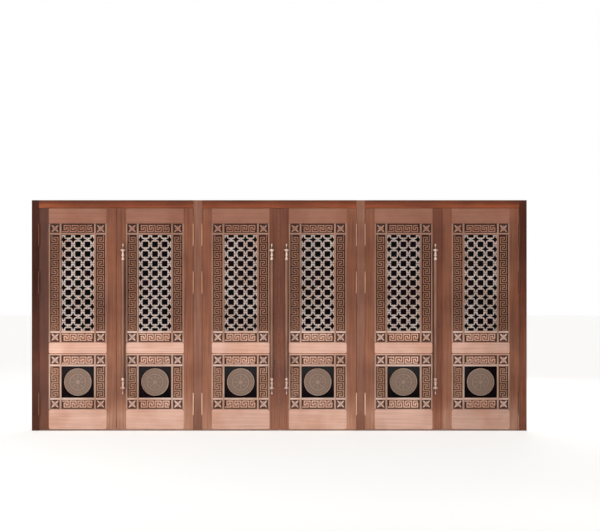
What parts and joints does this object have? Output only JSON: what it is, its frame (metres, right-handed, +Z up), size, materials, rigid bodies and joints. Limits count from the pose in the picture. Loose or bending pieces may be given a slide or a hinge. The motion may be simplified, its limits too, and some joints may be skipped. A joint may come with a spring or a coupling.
{
  "type": "bronze entry door",
  "caption": "Bank of paired bronze entry doors in one frame, with cast key-pattern borders, lattice lights, medallions, barrel hinges and upright pull bars.",
  "frame": {"origin": "middle of the threshold's underside, at floor level and at the middle of the frame's depth", "axes": "+X along the width to the right of someone facing the outer side, +Y inwards through the doorway, +Z up"},
  "size_m": [6.44, 0.278, 3],
  "materials": {
    "frame_bronze": "brushed, brown patina",
    "threshold_bronze": "worn, dark patina",
    "leaf_bronze": "brushed copper-coloured bronze",
    "cast_bronze": "cast, dark ground and bright crests",
    "lattice_bronze": "cast, dull pinkish grey",
    "medallion_bronze": "cast, dull grey brown",
    "hinge_bronze": "turned, satin",
    "pull_bronze": "turned and polished",
    "lock_brass": "dark satin",
    "bolt_steel": "drawn bar",
    "dark_glass": "dark tinted, polished",
    "seal_rubber": "extruded"
  },
  "bodies": {
    "frame": {"head_rails": "frame_bronze", "jamb_left": "frame_bronze", "jamb_right": "frame_bronze", "mullion_left": "frame_bronze", "mullion_right": "frame_bronze", "threshold": "threshold_bronze", "frame_seals": "seal_rubber", "frame_hinges": "hinge_bronze"},
    "leaf_1": {"leaf_1_frame": "leaf_bronze", "leaf_1_borders": "cast_bronze", "leaf_1_lattice": "lattice_bronze", "leaf_1_glass": "dark_glass", "leaf_1_medallion": "medallion_bronze", "leaf_1_hinges": "hinge_bronze"},
    "leaf_1_top_bolt_slide": {"leaf_1_top_bolt": "bolt_steel"},
    "leaf_1_bottom_bolt_slide": {"leaf_1_bottom_bolt": "bolt_steel"},
    "leaf_2": {"leaf_2_frame": "leaf_bronze", "leaf_2_borders": "cast_bronze", "leaf_2_lattice": "lattice_bronze", "leaf_2_glass": "dark_glass", "leaf_2_medallion": "medallion_bronze", "leaf_2_hinges": "hinge_bronze", "leaf_2_pull": "pull_bronze", "leaf_2_lock_cylinder": "lock_brass"},
    "leaf_2_lock_bolt_slide": {"leaf_2_lock_bolt": "bolt_steel"},
    "leaf_3": {"leaf_3_frame": "leaf_bronze", "leaf_3_borders": "cast_bronze", "leaf_3_lattice": "lattice_bronze", "leaf_3_glass": "dark_glass", "leaf_3_medallion": "medallion_bronze", "leaf_3_hinges": "hinge_bronze", "leaf_3_pull": "pull_bronze", "leaf_3_lock_cylinder": "lock_brass"},
    "leaf_3_lock_bolt_slide": {"leaf_3_lock_bolt": "bolt_steel"},
    "leaf_4": {"leaf_4_frame": "leaf_bronze", "leaf_4_borders": "cast_bronze", "leaf_4_lattice": "lattice_bronze", "leaf_4_glass": "dark_glass", "leaf_4_medallion": "medallion_bronze", "leaf_4_hinges": "hinge_bronze", "leaf_4_pull": "pull_bronze"},
    "leaf_4_top_bolt_slide": {"leaf_4_top_bolt": "bolt_steel"},
    "leaf_4_bottom_bolt_slide": {"leaf_4_bottom_bolt": "bolt_steel"},
    "leaf_5": {"leaf_5_frame": "leaf_bronze", "leaf_5_borders": "cast_bronze", "leaf_5_lattice": "lattice_bronze", "leaf_5_glass": "dark_glass", "leaf_5_medallion": "medallion_bronze", "leaf_5_hinges": "hinge_bronze", "leaf_5_pull": "pull_bronze", "leaf_5_lock_cylinder": "lock_brass"},
    "leaf_5_lock_bolt_slide": {"leaf_5_lock_bolt": "bolt_steel"},
    "leaf_6": {"leaf_6_frame": "leaf_bronze", "leaf_6_borders": "cast_bronze", "leaf_6_lattice": "lattice_bronze", "leaf_6_glass": "dark_glass", "leaf_6_medallion": "medallion_bronze", "leaf_6_hinges": "hinge_bronze"},
    "leaf_6_top_bolt_slide": {"leaf_6_top_bolt": "bolt_steel"},
    "leaf_6_bottom_bolt_slide": {"leaf_6_bottom_bolt": "bolt_steel"}
  },
  "joints": [
    {"name": "leaf_1_swing", "type": "hinge", "parent": "frame", "child": "leaf_1", "pos_m": [-3.1235, -0.1015, 0.35], "axis": [0, 0, -1], "range_deg": [0, 85]},
    {"name": "leaf_1_top_bolt_throw", "type": "slide", "parent": "leaf_1", "child": "leaf_1_top_bolt_slide", "axis": [0, 0, 1], "range_m": [0, 0.02]},
    {"name": "leaf_1_bottom_bolt_throw", "type": "slide", "parent": "leaf_1", "child": "leaf_1_bottom_bolt_slide", "axis": [0, 0, -1], "range_m": [0, 0.014]},
    {"name": "leaf_2_swing", "type": "hinge", "parent": "frame", "child": "leaf_2", "pos_m": [-1.1165, -0.1015, 0.35], "axis": [0, 0, 1], "range_deg": [0, 85]},
    {"name": "leaf_2_lock_bolt_throw", "type": "slide", "parent": "leaf_2", "child": "leaf_2_lock_bolt_slide", "axis": [-1, 0, 0], "range_m": [0, 0.018]},
    {"name": "leaf_3_swing", "type": "hinge", "parent": "frame", "child": "leaf_3", "pos_m": [-1.0035, -0.1015, 0.35], "axis": [0, 0, -1], "range_deg": [0, 85]},
    {"name": "leaf_3_lock_bolt_throw", "type": "slide", "parent": "leaf_3", "child": "leaf_3_lock_bolt_slide", "axis": [1, 0, 0], "range_m": [0, 0.018]},
    {"name": "leaf_4_swing", "type": "hinge", "parent": "frame", "child": "leaf_4", "pos_m": [1.0035, -0.1015, 0.35], "axis": [0, 0, 1], "range_deg": [0, 85]},
    {"name": "leaf_4_top_bolt_throw", "type": "slide", "parent": "leaf_4", "child": "leaf_4_top_bolt_slide", "axis": [0, 0, 1], "range_m": [0, 0.02]},
    {"name": "leaf_4_bottom_bolt_throw", "type": "slide", "parent": "leaf_4", "child": "leaf_4_bottom_bolt_slide", "axis": [0, 0, -1], "range_m": [0, 0.014]},
    {"name": "leaf_5_swing", "type": "hinge", "parent": "frame", "child": "leaf_5", "pos_m": [1.1165, -0.1015, 0.35], "axis": [0, 0, -1], "range_deg": [0, 85]},
    {"name": "leaf_5_lock_bolt_throw", "type": "slide", "parent": "leaf_5", "child": "leaf_5_lock_bolt_slide", "axis": [1, 0, 0], "range_m": [0, 0.018]},
    {"name": "leaf_6_swing", "type": "hinge", "parent": "frame", "child": "leaf_6", "pos_m": [3.1235, -0.1015, 0.35], "axis": [0, 0, 1], "range_deg": [0, 85]},
    {"name": "leaf_6_top_bolt_throw", "type": "slide", "parent": "leaf_6", "child": "leaf_6_top_bolt_slide", "axis": [0, 0, 1], "range_m": [0, 0.02]},
    {"name": "leaf_6_bottom_bolt_throw", "type": "slide", "parent": "leaf_6", "child": "leaf_6_bottom_bolt_slide", "axis": [0, 0, -1], "range_m": [0, 0.014]}
  ]
}
